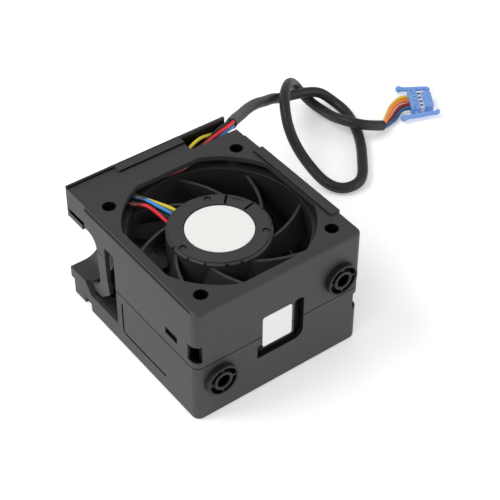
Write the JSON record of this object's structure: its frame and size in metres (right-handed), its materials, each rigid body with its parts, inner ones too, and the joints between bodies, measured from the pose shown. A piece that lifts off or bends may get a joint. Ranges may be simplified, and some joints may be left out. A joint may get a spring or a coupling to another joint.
{
  "type": "server fan module",
  "caption": "Hot-swap axial fan in a split black plastic case with a pinch grip, release tongues and rubber isolators, and a sleeved lead that ends in a latched plug.",
  "frame": {"origin": "on the fan's axis at the case's bottom face, the centre of the bottom screw pattern", "axes": "+Z along the fan's axis, the way the air leaves; +Y towards the grip end; -Y towards the face with the rubber isolators; +X towards the side where the cable leaves"},
  "size_m": [0.1754, 0.1162, 0.0467],
  "materials": {
    "case_black": "fine matte grain",
    "fan_black": "satin",
    "steel": "turned",
    "ferrite": "dull",
    "copper": "enamelled",
    "nylon_white": "matte",
    "board_green": "gloss",
    "chip_black": "matte",
    "rubber_black": "matte",
    "label_silver": "satin",
    "label_white": "satin",
    "sleeve_black": "matte, worn",
    "wire_red": "satin",
    "wire_yellow": "satin",
    "wire_blue": "satin",
    "wire_black": "satin",
    "plug_blue": "matte",
    "contact_tin": "bright"
  },
  "bodies": {
    "module": {"upper_shell": "case_black", "lower_shell": "case_black", "fan_frame": "fan_black", "motor_base": "fan_black", "bearing_lower": "steel", "bearing_upper": "steel", "stator_core": "steel", "stator_windings": "copper", "insulator_upper": "nylon_white", "insulator_lower": "nylon_white", "circuit_board": "board_green", "board_chips": "chip_black", "dampers_top": "rubber_black", "dampers_bottom": "rubber_black", "isolator_right": "rubber_black", "isolator_left": "rubber_black", "hub_label": "label_silver", "face_label": "label_white", "cable_sleeve": "sleeve_black", "lead_red": "wire_red", "lead_yellow": "wire_yellow", "lead_blue": "wire_blue", "lead_black": "wire_black", "tail_red": "wire_red", "tail_yellow": "wire_yellow", "tail_blue": "wire_blue", "tail_black": "wire_black", "plug_housing": "plug_blue", "plug_contacts": "contact_tin"},
    "rotor": {"impeller": "fan_black", "rotor_cup": "steel", "magnet_ring": "ferrite", "shaft": "steel", "preload_washer": "steel", "retaining_clip": "steel"},
    "release_tongue_left": {"tongue_left": "case_black"},
    "release_tongue_right": {"tongue_right": "case_black"},
    "latch_left": {"plug_latch_left": "plug_blue"},
    "latch_right": {"plug_latch_right": "plug_blue"}
  },
  "joints": [
    {"name": "impeller_spin", "type": "hinge", "parent": "module", "child": "rotor", "pos_m": [0, 0, 0.0251], "axis": [0, 0, 1], "continuous": true},
    {"name": "tongue_left_flex", "type": "hinge", "parent": "module", "child": "release_tongue_left", "pos_m": [-0.03145, 0.02, 0.03305], "axis": [0, -1, 0], "range_deg": [0, 5], "stiffness_Nm_per_rad": 0.8},
    {"name": "tongue_right_flex", "type": "hinge", "parent": "module", "child": "release_tongue_right", "pos_m": [0.03145, 0.02, 0.03305], "axis": [0, 1, 0], "range_deg": [0, 5], "stiffness_Nm_per_rad": 0.8},
    {"name": "latch_left_squeeze", "type": "hinge", "parent": "module", "child": "latch_left", "pos_m": [0.13523, 0.05743, 0.0022], "axis": [0, 0, 1], "range_deg": [0, 8], "stiffness_Nm_per_rad": 0.05},
    {"name": "latch_right_squeeze", "type": "hinge", "parent": "module", "child": "latch_right", "pos_m": [0.12819, 0.04615, 0.0022], "axis": [0, 0, -1], "range_deg": [0, 8], "stiffness_Nm_per_rad": 0.05}
  ]
}
